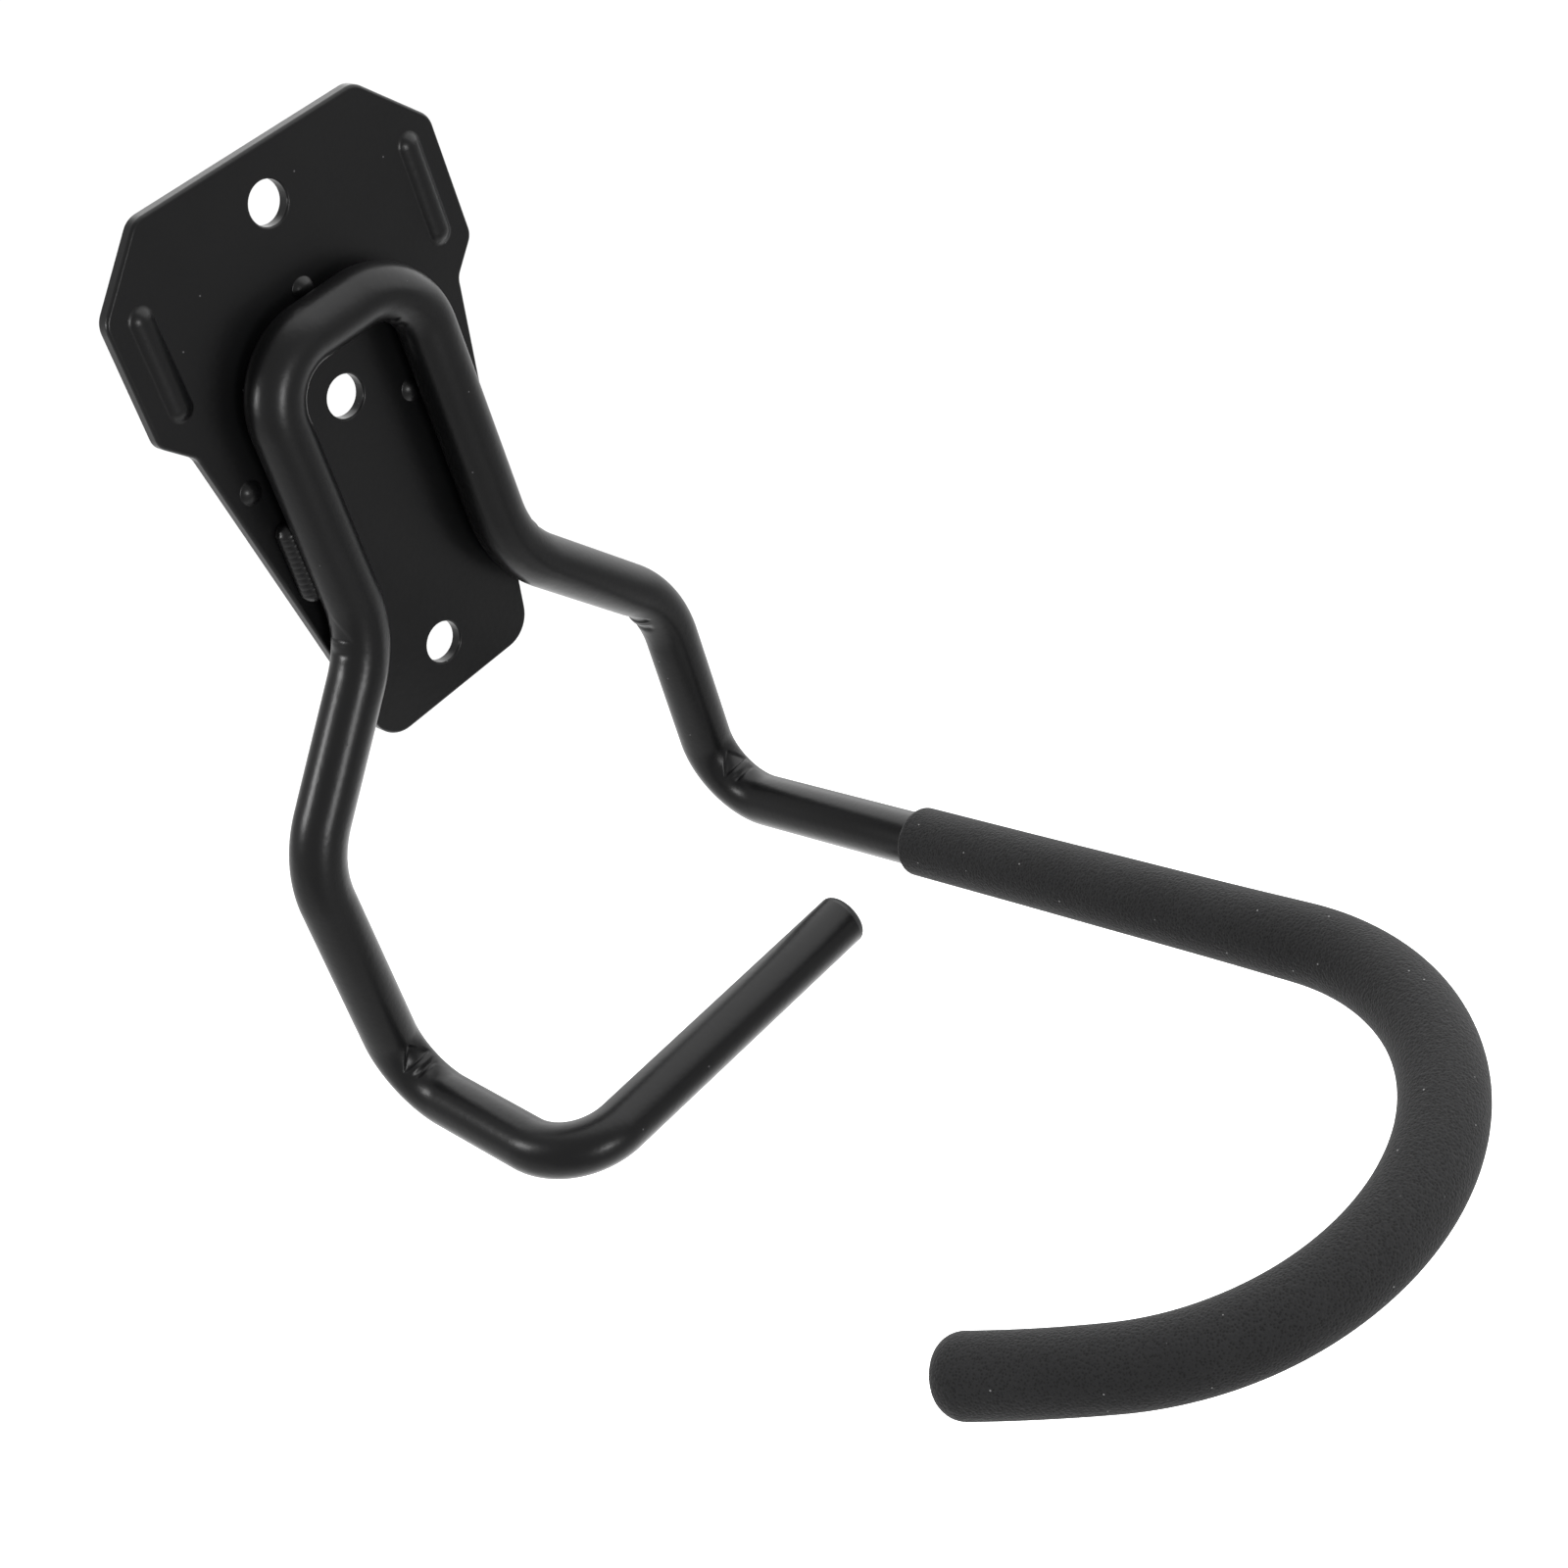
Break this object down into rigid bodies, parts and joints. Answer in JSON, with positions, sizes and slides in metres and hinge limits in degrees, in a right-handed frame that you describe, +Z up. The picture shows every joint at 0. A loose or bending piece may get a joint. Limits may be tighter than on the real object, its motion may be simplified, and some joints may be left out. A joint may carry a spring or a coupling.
{
  "type": "bicycle storage hook",
  "caption": "Wall-mounted bicycle storage hook: a bent steel tube welded to a stamped plate, with a rest bar for the tyre and a foam-covered hook for the wheel rim.",
  "frame": {"origin": "centre of the middle screw hole on the plate's back face, which lies against the wall", "axes": "+Y into the wall, the hook reaches out along -Y; +Z up; +X to the right for someone who faces the wall"},
  "size_m": [0.1099, 0.1982, 0.1719],
  "materials": {
    "powder_coat": "semi-gloss black powder coat",
    "foam": "matte fine-celled black foam",
    "plug_plastic": "satin black plastic"
  },
  "bodies": {
    "root": {"wall_plate": "powder_coat", "hook_tube": "powder_coat", "weld_beads": "powder_coat", "foam_sleeve": "foam", "end_plug": "plug_plastic"}
  },
  "joints": []
}
